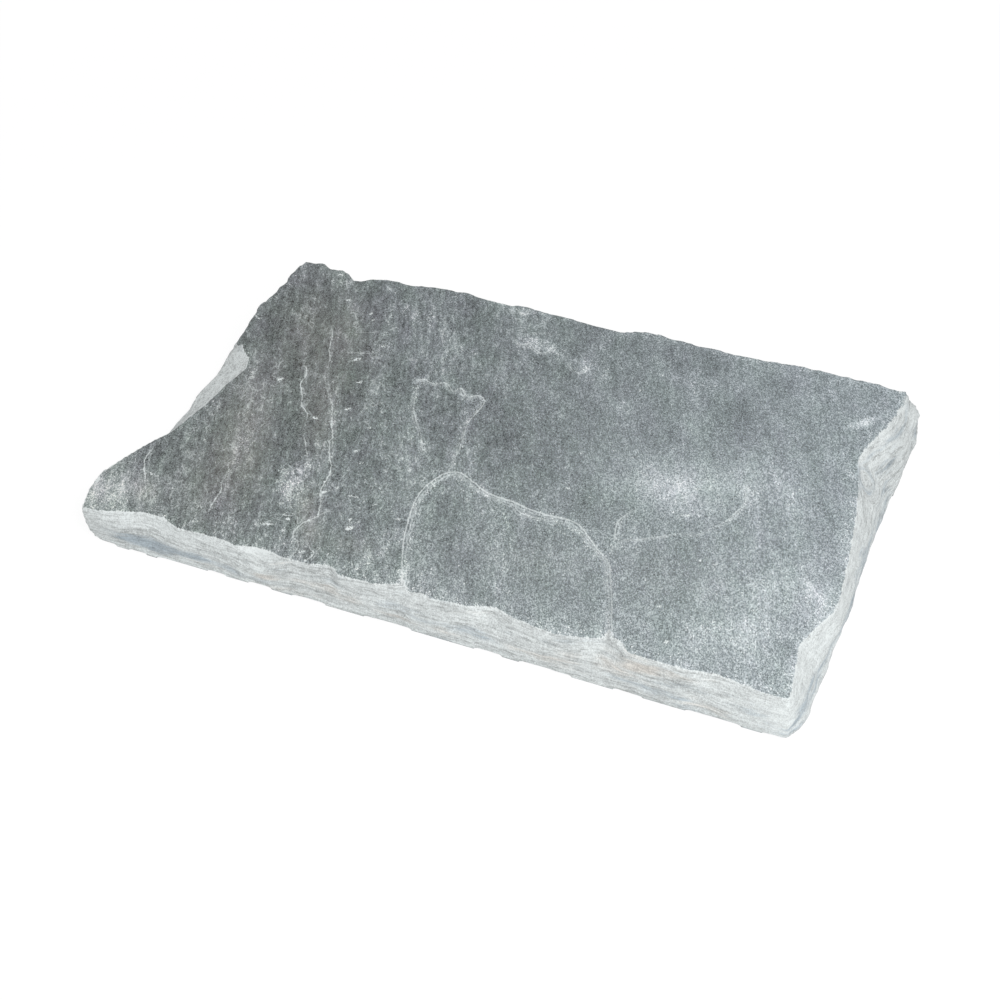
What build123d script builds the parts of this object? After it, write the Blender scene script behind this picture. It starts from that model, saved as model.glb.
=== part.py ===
"""Slate stepping stone: one slab of riven slate, split flat on both faces and broken by hand all round.

Millimetres, +Z up. The origin is the middle of the bed, the face that the stone lies on.
X runs along the slab's length and Y across it, from the front edge to the back edge.
"""

import os

from build123d import *

# Overall sizes of the slab
slab_length = 520.0
slab_width = 352.0
left_thickness = 26.0
right_thickness = 31.0
waist_height = 13.0

# Flakes that have come off the tread, each down to a lower cleavage plane
front_flake_depth = 2.2
middle_flake_depth = 0.8
right_flake_depth = 0.8

# A broken edge is three lines, one above the other: the bed arris at the bottom, the waist part of
# the way up and the rim of the tread at the top. Each is given by its inset, how far it lies inside
# the slab's overall rectangle.
BED, WAIST, RIM = range(3)

# The breaks along each side, walking round the slab anticlockwise.
# Each is its place as a share of the side, then the insets of bed, waist and rim.
front_breaks = [
    (0.046, (1.0, 1.5, 2.7)),
    (0.071, (0.0, 2.0, 7.5)),
    (0.100, (0.5, 4.0, 13.0)),
    (0.123, (0.0, 4.2, 12.8)),
    (0.156, (1.5, 3.0, 6.5)),
    (0.217, (2.3, 3.2, 7.0)),
    (0.250, (1.6, 2.5, 5.5)),
    (0.271, (2.5, 4.0, 9.7)),
    (0.312, (1.8, 3.5, 7.0)),
    (0.354, (2.6, 3.2, 8.0)),
    (0.377, (2.0, 4.0, 11.5)),
    (0.394, (1.6, 2.5, 4.0)),
    (0.450, (2.4, 3.2, 6.3)),
    (0.477, (2.9, 4.4, 13.0)),
    (0.494, (2.1, 3.5, 10.0)),
    (0.569, (1.6, 4.5, 12.0)),
    (0.595, (2.5, 6.0, 19.5)),
    (0.631, (1.9, 4.5, 13.0)),
    (0.681, (2.7, 3.0, 8.5)),
    (0.717, (2.0, 4.0, 12.5)),
    (0.746, (1.5, 5.5, 18.0)),
    (0.777, (2.3, 3.5, 8.0)),
    (0.842, (1.8, 3.0, 6.0)),
    (0.890, (2.6, 4.0, 10.0)),
    (0.944, (1.9, 3.0, 6.0)),
]
right_breaks = [
    (0.031, (3.1, 6.0, 9.2)),
    (0.070, (0.0, 4.0, 11.6)),
    (0.159, (0.7, 5.0, 16.6)),
    (0.196, (0.0, 4.0, 12.6)),
    (0.233, (1.0, 3.2, 8.0)),
    (0.267, (1.8, 1.0, 3.4)),
    (0.304, (1.0, 0.5, 4.2)),
    (0.350, (0.0, 1.2, 5.8)),
    (0.435, (2.4, 3.4, 9.2)),
    (0.543, (3.0, 5.0, 15.0)),
    (0.639, (3.8, 8.0, 22.0)),
    (0.719, (3.4, 10.4, 30.0)),
    (0.753, (2.6, 10.0, 28.5)),
    (0.798, (2.0, 9.0, 25.0)),
    (0.861, (2.4, 8.0, 19.0)),
    (0.912, (3.2, 7.0, 17.0)),
]
back_breaks = [
    (0.104, (3.0, 2.0, 0.4)),
    (0.163, (2.0, 1.0, 0.0)),
    (0.250, (4.0, 3.0, 2.5)),
    (0.344, (2.0, 3.4, 2.3)),
    (0.408, (0.0, 1.0, 0.0)),
    (0.437, (1.0, 3.0, 2.6)),
    (0.465, (3.0, 5.0, 7.2)),
    (0.563, (2.0, 4.0, 5.0)),
    (0.598, (1.0, 2.0, 3.0)),
    (0.662, (3.0, 4.0, 4.7)),
    (0.715, (1.0, 1.5, 1.6)),
    (0.765, (2.0, 2.9, 2.4)),
    (0.804, (3.4, 5.0, 7.0)),
    (0.846, (3.0, 5.6, 6.0)),
    (0.869, (4.0, 7.0, 11.0)),
    (0.885, (4.8, 9.0, 18.0)),
    (0.900, (4.2, 9.6, 18.5)),
    (0.913, (4.6, 7.0, 10.5)),
    (0.927, (4.0, 5.0, 6.8)),
    (0.943, (4.5, 6.0, 9.5)),
    (0.962, (5.4, 5.0, 5.0)),
]
left_breaks = [
    (0.068, (4.0, 2.5, 2.0)),
    (0.151, (4.6, 4.0, 4.0)),
    (0.230, (2.0, 1.0, 0.0)),
    (0.301, (2.6, 1.4, 4.5)),
    (0.355, (2.0, 0.0, 10.0)),
    (0.395, (3.0, 2.5, 19.0)),
    (0.423, (4.0, 4.0, 30.0)),
    (0.460, (5.0, 6.0, 34.5)),
    (0.534, (5.4, 5.5, 30.0)),
    (0.591, (8.0, 9.5, 29.0)),
    (0.673, (9.0, 10.5, 24.0)),
    (0.716, (11.0, 14.0, 21.7)),
    (0.753, (10.0, 12.0, 15.5)),
    (0.818, (6.0, 7.0, 7.0)),
    (0.878, (3.0, 1.5, 0.5)),
    (0.929, (4.0, 1.8, 1.2)),
]

# The four corners: for bed, waist and rim, the inset along X and the inset along Y.
front_left_corner = ((14.0, 3.5), (10.0, 1.0), (9.5, 0.0))
front_right_corner = ((7.5, 2.6), (7.8, 3.0), (8.5, 5.0))
back_right_corner = ((5.0, 0.5), (6.8, 0.8), (17.5, 4.0))
back_left_corner = ((7.0, 9.0), (5.0, 8.0), (3.5, 7.5))

# Outlines of the flakes: X from the slab's middle, Y from the line of its front edge.
# The front flake runs out through the front edge, so its outline starts and ends outside the slab.
front_flake_outline = [
    (0.0, -12.0),
    (-20.0, 30.0),
    (-36.0, 74.0),
    (-40.0, 100.0),
    (-36.0, 124.0),
    (-27.0, 133.0),
    (-12.0, 128.0),
    (9.0, 121.0),
    (49.0, 117.0),
    (75.0, 111.0),
    (99.0, 94.0),
    (114.0, 65.0),
    (125.0, 32.0),
    (141.0, -12.0),
]
middle_flake_outline = [
    (-99.0, 227.0),
    (-73.0, 230.0),
    (-58.0, 223.0),
    (-42.0, 220.0),
    (-43.0, 200.0),
    (-41.0, 176.0),
    (-35.0, 155.0),
    (-45.0, 147.0),
    (-62.0, 158.0),
    (-86.0, 188.0),
]
right_flake_outline = [
    (108.0, 97.0),
    (101.0, 113.0),
    (100.0, 133.0),
    (117.0, 166.0),
    (137.0, 185.0),
    (160.0, 190.0),
    (168.0, 178.0),
    (158.0, 150.0),
    (146.0, 130.0),
    (130.0, 110.0),
    (118.0, 100.0),
]


def outline(level):
    """Points of the broken edge round the slab at one level, anticlockwise from the front left corner."""
    half_length = slab_length / 2
    half_width = slab_width / 2
    x_in, y_in = front_left_corner[level]
    points = [(-half_length + x_in, -half_width + y_in)]
    for along, insets in front_breaks:
        points.append((-half_length + along * slab_length, -half_width + insets[level]))
    x_in, y_in = front_right_corner[level]
    points.append((half_length - x_in, -half_width + y_in))
    for along, insets in right_breaks:
        points.append((half_length - insets[level], -half_width + along * slab_width))
    x_in, y_in = back_right_corner[level]
    points.append((half_length - x_in, half_width - y_in))
    for along, insets in back_breaks:
        points.append((half_length - along * slab_length, half_width - insets[level]))
    x_in, y_in = back_left_corner[level]
    points.append((-half_length + x_in, half_width - y_in))
    for along, insets in left_breaks:
        points.append((-half_length + insets[level], half_width - along * slab_width))
    return points


def from_front_edge(points):
    """Points measured from the line of the front edge, moved to the slab's own frame."""
    return [(x, y - slab_width / 2) for x, y in points]


# The tread is a cleavage plane that rises from the left end to the right end.
tread_plane = Plane(
    origin=(0, 0, (left_thickness + right_thickness) / 2),
    x_dir=(slab_length, 0, right_thickness - left_thickness),
    z_dir=(left_thickness - right_thickness, 0, slab_length),
)
levels = [
    (Plane.XY, BED),
    (Plane.XY.offset(waist_height), WAIST),
    (tread_plane, RIM),
]

with BuildPart() as stepping_stone:
    # The slab, from the bed up to the tread, with its broken edges between
    for plane, level in levels:
        with BuildSketch(plane):
            with BuildLine():
                Polyline(*outline(level), close=True)
            make_face()
    loft(ruled=True)

    # The large flake scar that runs out through the front edge
    with BuildSketch(tread_plane):
        with BuildLine() as scar_edge:
            Spline(*from_front_edge(front_flake_outline))
            Line(scar_edge.line @ 1, scar_edge.line @ 0)
        make_face()
    extrude(amount=-front_flake_depth, mode=Mode.SUBTRACT)

    # The two thin scars farther back, each closed all round
    for flake_outline, flake_depth in [
        (middle_flake_outline, middle_flake_depth),
        (right_flake_outline, right_flake_depth),
    ]:
        with BuildSketch(tread_plane):
            with BuildLine():
                Spline(*from_front_edge(flake_outline), periodic=True)
            make_face()
        extrude(amount=-flake_depth, mode=Mode.SUBTRACT)

stepping_stone.part.label = "stepping_stone"

os.makedirs("parts", exist_ok=True)
export_step(stepping_stone.part, "parts/stepping_stone.step")
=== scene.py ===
"""Looks of a slate stepping stone: one slab of riven slate with hand broken edges, lying on a pale floor.

The slab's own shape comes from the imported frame. This file adds what is too fine for the solid: the cleft
relief of the tread, the ledges and chips of the broken edges, and the stone's grain, veins and colours.
Plan places are in millimetres from the middle of the slab, +x along its length and +y to its back edge.
"""

import math

import bmesh
import bpy
import numpy as np
from bpy.props import FloatProperty, FloatVectorProperty, PointerProperty
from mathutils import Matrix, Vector, kdtree, noise


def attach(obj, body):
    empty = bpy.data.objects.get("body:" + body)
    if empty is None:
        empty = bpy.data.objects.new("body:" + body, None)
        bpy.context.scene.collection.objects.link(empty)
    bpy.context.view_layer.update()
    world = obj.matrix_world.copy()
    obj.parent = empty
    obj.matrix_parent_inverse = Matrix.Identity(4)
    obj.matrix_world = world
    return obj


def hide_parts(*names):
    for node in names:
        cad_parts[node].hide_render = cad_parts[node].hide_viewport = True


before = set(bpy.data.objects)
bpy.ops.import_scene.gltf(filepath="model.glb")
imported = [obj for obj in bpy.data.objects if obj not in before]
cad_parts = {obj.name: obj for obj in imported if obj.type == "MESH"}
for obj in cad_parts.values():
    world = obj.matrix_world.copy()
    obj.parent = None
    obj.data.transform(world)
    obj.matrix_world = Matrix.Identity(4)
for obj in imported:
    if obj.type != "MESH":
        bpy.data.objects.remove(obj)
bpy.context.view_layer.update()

bl_info = {
    "name": "Slate Stepping Stone",
    "version": (1, 0, 0),
    "blender": (4, 5, 0),
    "location": "3D View > Sidebar > Slate",
    "description": "Dresses a slab of riven slate with relief, broken edges and a stone finish",
    "category": "Object",
}

MM = 0.001
NODE = "stepping_stone"

# Lengths under the first of these count as none, and points of the mesh under the second are on the bed
TINY = 1e-6
BED_SNAP = 0.25 * MM
# A face of the solid belongs to the tread where its normal rises more than this
TREAD_RISE = 0.999
# Steps of a line's curve from one given point to the next, and of noise from one seed to the next
LINE_STEPS = 4
SEED_STEP = 17.31
SEED_SHIFT = (7.3, 3.1, 5.7)

# All lengths from here to the settings are in millimetres.

# Zones of the slab. Along each axis given, a zone comes in smoothly from the first place to the second.
ZONES = {
    "above_bed": {"z": (0.0, 1.5)},
    "off_bed": {"z": (0.15, 0.35)},
    "front_edge": {"y": (-120.0, -150.0)},
    "back_edge": {"y": (120.0, 155.0)},
    "back_rim": {"y": (135.0, 158.0)},
    "back_scallops": {"y": (150.0, 166.0)},
    "back_corner": {"x": (190.0, 225.0), "y": (70.0, 105.0)},
    "left_side": {"x": (60.0, -140.0)},
    "left_rim": {"x": (-225.0, -242.0), "y": (38.0, 50.0)},
    "left_rim_front": {"y": (95.0, 65.0)},
    "left_scallops": {"x": (-236.0, -250.0), "y": (25.0, 50.0)},
    "left_chip": {"x": (-212.0, -228.0), "y": (-60.0, -30.0), "z": (11.0, 16.0)},
    "right_side": {"x": (-40.0, 100.0)},
    "right_bulge": {"x": (200.0, 235.0)},
    "right_end": {"x": (205.0, 235.0)},
    "swirled": {"x": (205.0, 235.0), "y": (0.0, 50.0)},
}

# What a point belongs to, by its depth under the tread and its tilt: 0 where it faces as the tread does, 1
# where it faces sideways
WALL_TILT = (0.1, 0.4)
WALL_DEPTH = (2.4, 4.5)
RIM_LEAST_TILT = 0.03
RIM_LEAST_DEPTH = 3.2
RIM_MOST_DEPTH = 9.0
TREAD_MOST_TILT = 0.5
TREAD_MOST_DEPTH = 5.0
BED_BAND = 1.0

# Layers of the relief: height, size of the bumps, how many times lower they are than long, and seed
RELIEF = {
    "bedding": ((1.5, 95.0, 1.0, 1), (0.5, 30.0, 1.0, 2)),
    "rough_edges": ((0.5, 10.0, 1.0, 3), (0.3, 4.0, 2.5, 4)),
    "back_bulges": ((1.4, 26.0, 1.6, 21),),
    "chips": ((0.9, 10.0, 1.0, 5), (1.0, 25.0, 1.0, 6)),
    "tread": ((0.6, 60.0, 1.0, 7), (0.3, 22.0, 1.0, 8), (0.15, 7.0, 1.0, 9)),
    "scallops": ((3.2, 17.0, 1.0, 23),),
    "rough_scallops": ((0.8, 5.5, 1.0, 24),),
    "worn_edge": ((1.2, 13.0, 1.0, 22),),
}
# Heights between the beds that show as ledges on the broken edges. The first and the last are off the slab.
LEDGES = (-20.0, 3.4, 6.0, 9.6, 12.0, 15.8, 18.2, 21.5, 24.0, 27.2, 40.0)
LEDGE_BLEND = 0.35
LEDGE_LENGTH = 24.0
LEDGE_SEED = 10
# The right end bulges by a length, and the back edge is rougher by a share
RIGHT_BULGE = 0.5
BACK_ROUGHER = 0.8
# Low terraces of the tread
TERRACE_HEIGHT = 0.5
TERRACE_SIZE = 55.0
TERRACE_STRETCH = (1.0, 0.6, 1.0)
TERRACE_EDGE = (0.15, 0.22)
TERRACE_SEED = 20
# Chips come where their noise is over a level, and get shallower from a distance off the broken edge on
CHIP_LEVEL = 0.35
CHIP_FADE_START = 3.6
CHIP_LEAST_REACH = 0.8
# The lowest places of the scallops lie this far in from the rim
SCALLOP_INSET = 0.9

# Where the stone looks freshly broken, by tilt, distance from the rim and depth of a chip, and where steep
FRESH_TILT = (0.02, 0.1)
FRESH_GAP = (11.0, 8.0)
FRESH_CHIP = 0.5
FRESH_BLUR = 3
STEEP_TILT = (0.08, 0.3)
STEEP_BLUR = 6
# How far down the weathered rims reach, and how far in the rim shows on the tread
WORN_DEPTH = 2.2
WORN_LEFT_DEPTH = 4.5
WORN_BLEND = 1.2
RIM_FADE = 5.0
# The tread's change of tone along x and along y, lighter to the front right: partly the stone's own tone and
# partly painted sheen
TONE_AND_SHEEN_SLOPE = (0.00036, -0.00012)
FLECK_STRENGTH = 1.4

# Lines on the tread, each a smooth curve: x, y and how strongly the line shows there
LINES = {
    "flake_edge": (
        (
            (-3, -180, 0.9), (-16, -155, 0.9), (-27, -130, 0.8), (-34, -110, 0.9), (-39, -89, 1.0),
            (-41, -73, 1.0), (-39, -59, 1.0), (-35, -48, 1.0), (-30, -43, 1.0), (-24, -42, 1.0),
            (-15, -46, 1.0), (1, -54, 1.0), (21, -57, 1.0), (41, -60, 0.9), (68, -62, 1.0), (81, -70, 1.0),
            (93, -81, 1.0), (103, -90, 0.9), (110, -104, 0.8), (119, -126, 0.75), (127, -148, 0.75),
            (138, -170, 0.8),
        ),
    ),
    "thin_edges": (
        ((23, -57, 0.3), (30, -64, 0.9), (43, -65, 0.8), (54, -63, 0.3)),
        (
            (-101, 50, 0.3), (-95, 53, 0.9), (-87, 51, 0.8), (-78, 55, 0.9), (-69, 47, 0.5), (-65, 53, 1.0),
            (-57, 45, 0.8), (-48, 49, 1.0), (-42, 41, 0.9), (-43, 14, 0.7), (-38, -7, 0.5), (-33, -41, 0.4),
        ),
        ((-99, 50, 0.2), (-89, 20, 0.6), (-81, 6, 0.8), (-70, -9, 0.4), (-60, -27, 0.9), (-57, -23, 0.3)),
        (
            (103, -81, 0.3), (105, -67, 0.6), (116, -61, 0.65), (128, -53, 0.65), (138, -46, 0.4),
            (150, -43, 0.6), (158, -31, 0.4), (165, -20, 0.75), (170, 3, 0.6), (167, 20, 0.2),
        ),
        ((103, -77, 0.5), (97, -56, 0.9), (97, -46, 1.0), (102, -33, 0.3)),
        (
            (-53, 128, 0.3), (-46, 122, 1.0), (-40, 126, 1.0), (-32, 120, 1.0), (-24, 119, 1.0),
            (-21, 134, 0.3),
        ),
        ((-52, 136, 0.2), (-38, 143, 0.5), (-25, 147, 0.2)),
        ((-65, 164, 0.4), (-61, 163, 0.8), (-57, 165, 0.7), (-57, 169, 0.3)),
        ((-8, 118, 0.2), (2, 107, 0.5), (9, 105, 0.6), (12, 113, 0.3)),
    ),
    "veins": (
        (
            (-192, 90, 0.0), (-186, 79, 0.7), (-180, 62, 0.8), (-173, 49, 0.5), (-166, 27, 0.4),
            (-151, 5, 0.4), (-145, -2, 0.7), (-134, -25, 1.0), (-127, -37, 1.0), (-126, -44, 0.9),
            (-118, -60, 1.0), (-112, -69, 0.8), (-109, -78, 1.0), (-108, -87, 1.0), (-106, -98, 1.0),
            (-102, -105, 0.7), (-98, -115, 0.8), (-96, -122, 1.0), (-99, -127, 1.0), (-103, -136, 1.0),
            (-102, -146, 0.7), (-97, -150, 0.7), (-93, -156, 0.6), (-93, -166, 0.5),
        ),
        (
            (-187, 35, 0.4), (-184, 32, 1.0), (-180, 23, 0.7), (-179, 13, 1.0), (-171, 0, 0.8),
            (-166, -11, 0.7), (-158, -18, 0.9), (-155, -23, 0.5), (-150, -36, 0.1), (-146, -46, 0.6),
            (-142, -51, 0.7), (-133, -66, 0.3),
        ),
        ((-106, -98, 1.0), (-103, -96, 0.8), (-99, -92, 0.2)),
        ((-96, -122, 0.8), (-92, -115, 0.5), (-88, -114, 0.1)),
        ((-108, -128, 0.5), (-103, -136, 0.6)),
        ((-240, -98, 0.4), (-239, -110, 1.0), (-234, -120, 1.0), (-226, -132, 0.6), (-213, -151, 0.3)),
        ((-176, -105, 0.3), (-175, -114, 0.6), (-171, -122, 0.9), (-169, -138, 0.8), (-167, -147, 0.4)),
        ((-127, -145, 0.4), (-123, -141, 1.0), (-118, -141, 0.3)),
        ((-86, -153, 0.6), (-82, -156, 0.9), (-80, -159, 1.0), (-82, -169, 0.5)),
        ((-117, -129, 0.9), (-113, -128, 0.9)),
        ((-161, 64, 0.6), (-150, 68, 0.6)),
        ((-173, 89, 0.3), (-155, 97, 0.4)),
    ),
}
LINE_REACH = 12.0

# Soft patches on the tread: x, y, half length, half width, turn in degrees, strength
TONE_PATCHES = (
    # Darker streaks along the cleavage on the left, with a pale front corner and a paler back edge
    (-178, 10, 90, 22, -66, -0.06), (-185, -100, 60, 24, -66, -0.07), (-125, 20, 110, 50, -66, -0.022),
    (-225, 100, 24, 20, 0, -0.06), (-140, 135, 50, 24, -66, 0.055), (-195, 150, 56, 16, 0, 0.05),
    (-112, 102, 36, 20, -66, 0.04), (-243, -151, 30, 22, 20, 0.21), (-132, -93, 14, 8, -60, 0.08),
    # In the middle, dark beside the front flake and behind it, and pale inside its left edge
    (-77, -85, 66, 16, -66, -0.055), (-22, -115, 60, 12, -66, 0.05), (-8, 8, 52, 32, -40, -0.115),
    (40, -30, 40, 14, 0, -0.03), (-75, 0, 40, 12, -66, 0.035), (-25, 146, 34, 16, 0, 0.055),
    (75, -100, 24, 20, 0, 0.025), (-42, -144, 20, 7, 80, 0.08), (-16, -157, 9, 4, -66, 0.14),
    (-34, 129, 17, 8, -12, 0.13), (5, 114, 13, 7, -30, 0.07),
    # On the right, a pale thin flake and a pale end, with darker stone between them and at the back
    (132, 5, 56, 32, 24, 0.135), (223, -86, 52, 22, 72, 0.1), (190, -145, 40, 16, 0, 0.05),
    (125, -102, 22, 22, 0, -0.035), (120, 100, 36, 22, -60, -0.035), (100, 150, 60, 16, 0, -0.04),
    (223, 123, 12, 4, 50, 0.12), (239, -71, 17, 4, -44, 0.09),
)
PALE_PATCHES = (
    (-135, -88, 14, 8, -66, 1.1), (-130, -102, 12, 8, -60, 1.1), (-121, -117, 12, 7, -50, 0.8),
    (-128, -74, 10, 7, 0, 0.45), (-130, -49, 9, 5, -50, 0.7), (-140, -14, 12, 5, -66, 0.6),
    (-184, -69, 22, 8, -66, 0.75), (-176, -95, 26, 6, -66, 0.6), (-160, -138, 18, 9, -50, 0.5),
    (-244, -156, 20, 11, 10, 0.35), (-34, 128, 16, 8, -12, 0.9), (-60, 166, 7, 4, 0, 0.7),
    (10, 114, 26, 8, -15, 0.5), (-137, 130, 14, 9, -10, 1.0), (223, 123, 12, 4, 50, 1.2),
    (212, -70, 26, 12, 60, 0.45), (200, -122, 26, 15, 20, 0.5), (130, 3, 38, 15, 20, 0.3),
    (140, -24, 10, 4, 20, 0.4), (166, 10, 12, 7, 60, 0.4), (178, -130, 16, 4, 10, 0.4),
    (-44, -144, 22, 8, 80, 0.35), (-40, -55, 16, 7, -60, 0.35), (-48, 25, 18, 6, -80, 0.4),
    (55, -66, 24, 6, -6, 0.5), (70, -105, 22, 10, -66, 0.3), (40, -110, 34, 5, -66, 0.35),
    (-95, 40, 14, 5, -66, 0.35), (-232, 105, 20, 10, -60, 0.35), (-92, 105, 30, 7, -66, 0.35),
    (80, 130, 40, 10, -10, 0.25), (239, -71, 17, 4, -44, 0.3), (-16, -158, 9, 4, -66, 0.7),
    (-134, -88, 6, 5, -30, 0.9), (-128, -100, 7, 5, -60, 0.9),
)
WARM_PATCHES = (
    (-146, -25, 36, 12, -66, 0.8), (-108, -114, 20, 9, -66, 0.8), (-221, -141, 16, 9, -50, 0.7),
    (-175, -85, 60, 20, -66, 0.6), (-205, 80, 70, 34, -66, 0.6), (-165, 55, 70, 24, -66, 0.5),
    (-62, -141, 20, 10, 0, 0.4), (-200, -30, 60, 24, -66, 0.5), (-92, -140, 18, 9, -66, 0.7),
    (60, -105, 30, 20, 0, 0.25), (-185, -115, 50, 26, -66, 0.4), (150, -90, 40, 30, 0, 0.15),
)
# White flecks on the tread: x, y, half length, half width, turn in degrees
FLECKS = (
    (-69, -124, 3.0, 2.1, 20), (-71, -126, 2.2, 1.7, 0), (-67, -117, 1.9, 1.4, 60), (-73, -116, 2.0, 1.5, 50),
    (-72, -120, 1.6, 1.4, 0), (-104, -97, 2.8, 1.5, 35), (-108, -86, 1.9, 1.5, 0), (-99, -129, 2.6, 1.6, 20),
    (-123, -142, 3.2, 1.4, 10), (-110, -144, 2.0, 1.5, 0),
    (-80, -93, 1.8, 1.5, 0), (-84, -93, 2.6, 1.4, 40), (-73, -96, 1.7, 1.5, 0), (-65, -96, 1.8, 1.4, 0),
    (-97, -89, 1.6, 1.5, 0), (-94, -57, 2.0, 1.5, 50), (-104, -46, 1.8, 1.4, 0), (-107, -17, 2.6, 1.8, 50),
    (-43, -104, 1.6, 1.5, 0), (-89, -159, 2.6, 1.7, 20), (-70, -154, 2.0, 1.6, 0), (-117, -129, 2.0, 1.6, 30),
    (-113, -132, 1.9, 1.5, 0), (-149, -22, 2.4, 1.8, 0), (-132, -3, 3.0, 1.3, 50), (-226, -124, 2.0, 1.6, 0),
    (-196, 12, 3.0, 1.6, 50), (-154, 57, 3.2, 1.5, 50), (-139, 31, 2.6, 1.7, 20), (-143, 81, 1.9, 1.5, 0),
    (-172, 118, 3.0, 1.4, 45), (-166, 111, 3.2, 1.4, 45), (-197, 129, 2.8, 1.5, 45), (171, -67, 2.0, 1.5, 40),
    (160, -68, 2.2, 1.6, 40), (-59, -52, 1.6, 1.5, 0), (52, -29, 1.7, 1.4, 0), (70, -33, 1.6, 1.4, 0),
    (138, -25, 2.2, 1.6, 30), (135, 5, 2.4, 1.6, 30), (-250, 79, 2.0, 1.5, 40), (-220, 162, 2.0, 1.5, 40),
    (165, -150, 2.4, 1.7, 20), (60, 100, 1.6, 1.4, 0), (200, 30, 1.6, 1.4, 0), (150, -120, 1.7, 1.5, 0),
)
# Beds in the broken edges that keep one colour: x, y, z, half sizes along the three axes, strength
COOL_BEDS = (
    (-210, -172, 9, 34, 20, 5, 0.9), (-165, -172, 8, 42, 20, 5, 0.75), (18, -172, 10, 45, 20, 4, 0.6),
    (172, -170, 9, 26, 20, 5, 0.9), (250, -120, 6, 20, 90, 8, 0.8), (252, 40, 6, 20, 110, 7, 0.8),
    (242, 95, 22, 22, 50, 10, 0.7), (252, -150, 13, 12, 26, 5, 0.6),
)
BEIGE_BEDS = (
    (-110, -174, 2, 50, 20, 5, 0.8), (102, -170, 10, 50, 20, 6, 0.7), (164, -166, 22, 40, 20, 6, 0.8),
    (200, -174, 2, 40, 20, 5, 0.6), (-60, -172, 14, 30, 20, 5, 0.5), (-108, -172, 9, 12, 20, 3, 0.45),
)
WHITE_BEDS = (
    (-205, -172, 23, 80, 20, 5, 0.85), (-118, -168, 25, 11, 12, 4, 1.8), (-116, -171, 13, 6, 12, 3, 1.8),
    (48, -162, 27, 26, 20, 6, 0.6), (205, -166, 27, 40, 20, 5, 0.35), (249, -172, 17, 7, 9, 14, 0.8),
    (245, -95, 22, 20, 40, 8, 0.6), (240, 90, 24, 20, 60, 8, 0.3), (-190, -174, 1, 60, 20, 3, 0.5),
    (-240, 5, 18, 22, 50, 14, 0.45), (-232, 32, 22, 12, 12, 9, 0.6),
)


def linear(red, green, blue):
    """A colour as it looks on a screen, from 0 to 1, as the renderer's linear colour."""
    return tuple(c / 12.92 if c <= 0.04045 else ((c + 0.055) / 1.055) ** 2.4 for c in (red, green, blue))


def length(name, description, default, least=0.0):
    """A setting for a length, its default and its least given in millimetres."""
    return FloatProperty(
        name=name, description=description, default=default * MM, min=least * MM,
        subtype="DISTANCE", unit="LENGTH", precision=5,
    )


def colour(name, description, *on_screen):
    """A setting for a colour, its default given as it looks on a screen."""
    return FloatVectorProperty(
        name=name, description=description, default=linear(*on_screen), min=0.0, max=1.0,
        size=3, subtype="COLOR",
    )


class StoneShape(bpy.types.PropertyGroup):
    """Sizes of the relief that the slab gets."""

    spacing: length("Spacing", "Distance between the points of the dressed slab's mesh", 1.85, 1.0)
    height_detail: FloatProperty(
        name="Height Detail", description="How many times finer the mesh is in height",
        default=2.0, min=1.0,
    )
    tread_relief: length("Tread Relief", "Height of the waves in the cleft tread", 0.4)
    ledge_depth: length("Ledge Depth", "How far the beds stand in and out on the broken edges", 1.2)
    chip_depth: length("Chip Depth", "Depth of the chips along the rim", 1.8)
    chip_reach: length("Chip Reach", "How far the largest chips run in from the rim", 5.0)


class StoneFinish(bpy.types.PropertyGroup):
    """Colours and grain of the slate."""

    skin_dark: colour("Dark Cleft Face", "Darkest grains of the weathered tread", 0.1, 0.105, 0.1)
    skin_grey: colour("Grey Cleft Face", "Usual grey of the weathered tread", 0.53, 0.565, 0.573)
    skin_light: colour("Light Cleft Face", "Pale, dusty places of the tread", 0.74, 0.775, 0.785)
    skin_white: colour("White Cleft Face", "Whitest grains of the tread", 0.95, 0.96, 0.96)
    mark_white: colour("Lines and Flecks", "White of the lines and flecks", 0.88, 0.905, 0.905)
    warm_tint: colour("Warm Tint", "Brownish stain on parts of the tread", 0.56, 0.535, 0.5)
    break_pale: colour("Pale Break", "Fresh stone of the broken edges", 0.79, 0.81, 0.81)
    break_beige: colour("Beige Bed", "Warm beds in the broken edges", 0.79, 0.78, 0.76)
    break_blue: colour("Blue Grey Bed", "Cool beds in the broken edges", 0.63, 0.67, 0.695)
    grain_size: length("Grain Size", "Size of the stone's visible grains", 0.6, 0.2)


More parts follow.
